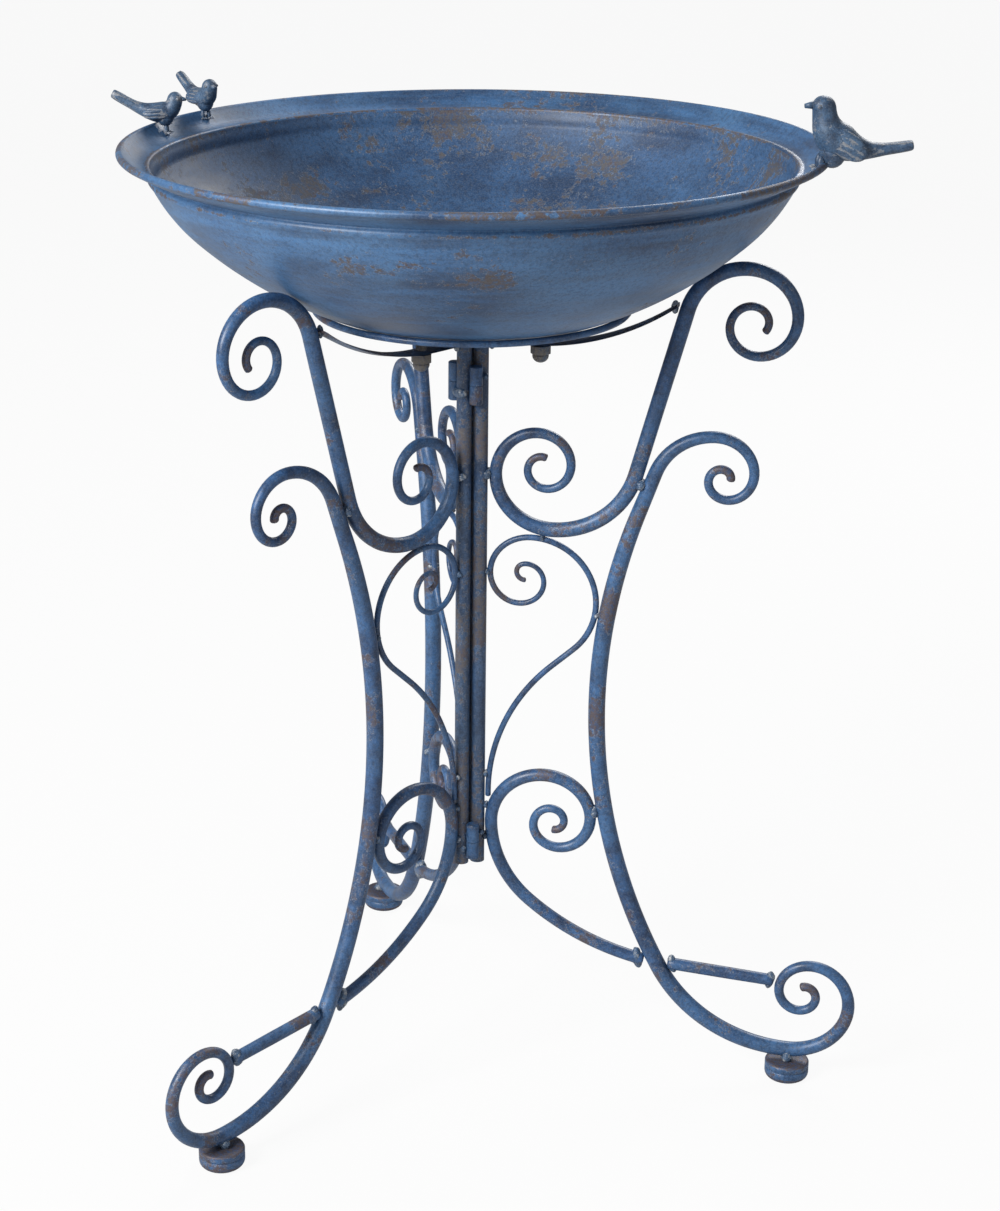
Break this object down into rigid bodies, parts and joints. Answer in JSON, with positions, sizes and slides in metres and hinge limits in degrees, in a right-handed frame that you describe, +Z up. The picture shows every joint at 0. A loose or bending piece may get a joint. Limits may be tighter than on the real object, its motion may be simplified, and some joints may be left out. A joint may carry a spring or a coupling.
{
  "type": "bird bath",
  "caption": "Dished steel bird bath with perched birds on a folding tripod of forged scroll panels, joined by barrel hinges at the middle.",
  "frame": {"origin": "on the ground, at the middle of the footprint box; the upright axis of the bowl and stand is at x = -0.015, y = -0.010", "axes": "+Z up; +X from the stand's axis towards the foot of the right panel; seen from above the rear panel stands at 117.3 degrees and the left panel at 235.4 degrees"},
  "size_m": [0.5807, 0.5237, 0.7647],
  "materials": {
    "blue_iron": "distressed blue paint",
    "bowl_enamel": "brushed blue paint with rust",
    "bird_paint": "distressed blue paint",
    "worn_steel": "worn paint over steel",
    "weld_metal": "bright weld",
    "bare_steel": "zinc with grime"
  },
  "bodies": {
    "left_panel": {"left_post": "worn_steel", "left_s_scroll": "blue_iron", "left_leg": "blue_iron", "left_curl_rod": "blue_iron", "left_foot_brace": "blue_iron", "left_thin_scroll": "blue_iron", "left_strap": "blue_iron", "left_foot_cup": "blue_iron", "left_cap_nut": "bare_steel", "left_stud": "bare_steel", "left_welds": "weld_metal", "left_hinge_welds": "weld_metal", "right_top_knuckle_lower": "worn_steel", "right_top_hinge_pin": "worn_steel", "right_bottom_knuckle_lower": "worn_steel", "right_bottom_hinge_pin": "worn_steel", "rear_top_knuckle_lower": "worn_steel", "rear_top_hinge_pin": "worn_steel", "rear_bottom_knuckle_lower": "worn_steel", "rear_bottom_hinge_pin": "worn_steel"},
    "right_panel": {"right_post": "worn_steel", "right_s_scroll": "blue_iron", "right_leg": "blue_iron", "right_curl_rod": "blue_iron", "right_foot_brace": "blue_iron", "right_thin_scroll": "blue_iron", "right_strap": "blue_iron", "right_foot_cup": "blue_iron", "right_cap_nut": "bare_steel", "right_stud": "bare_steel", "right_welds": "weld_metal", "right_hinge_welds": "weld_metal", "right_top_knuckle_upper": "worn_steel", "right_bottom_knuckle_upper": "worn_steel"},
    "rear_panel": {"rear_post": "worn_steel", "rear_s_scroll": "blue_iron", "rear_leg": "blue_iron", "rear_curl_rod": "blue_iron", "rear_foot_brace": "blue_iron", "rear_thin_scroll": "blue_iron", "rear_strap": "blue_iron", "rear_foot_cup": "blue_iron", "rear_cap_nut": "bare_steel", "rear_stud": "bare_steel", "rear_welds": "weld_metal", "rear_hinge_welds": "weld_metal", "rear_top_knuckle_upper": "worn_steel", "rear_bottom_knuckle_upper": "worn_steel"},
    "bowl": {"bowl": "bowl_enamel", "bowl_ring": "blue_iron", "right_bird": "bird_paint", "left_bird": "bird_paint", "rear_bird": "bird_paint"}
  },
  "joints": [
    {"name": "right_fold", "type": "hinge", "parent": "left_panel", "child": "right_panel", "pos_m": [-0.00951, -0.02045, 0.36], "axis": [0, 0, 1], "range_deg": [-121, 0]},
    {"name": "rear_fold", "type": "hinge", "parent": "left_panel", "child": "rear_panel", "pos_m": [-0.02729, -0.00922, 0.36], "axis": [0, 0, 1], "range_deg": [0, 115]},
    {"name": "bowl_lift", "type": "slide", "parent": "left_panel", "child": "bowl", "axis": [0, 0, 1], "range_m": [0, 0.3]}
  ]
}
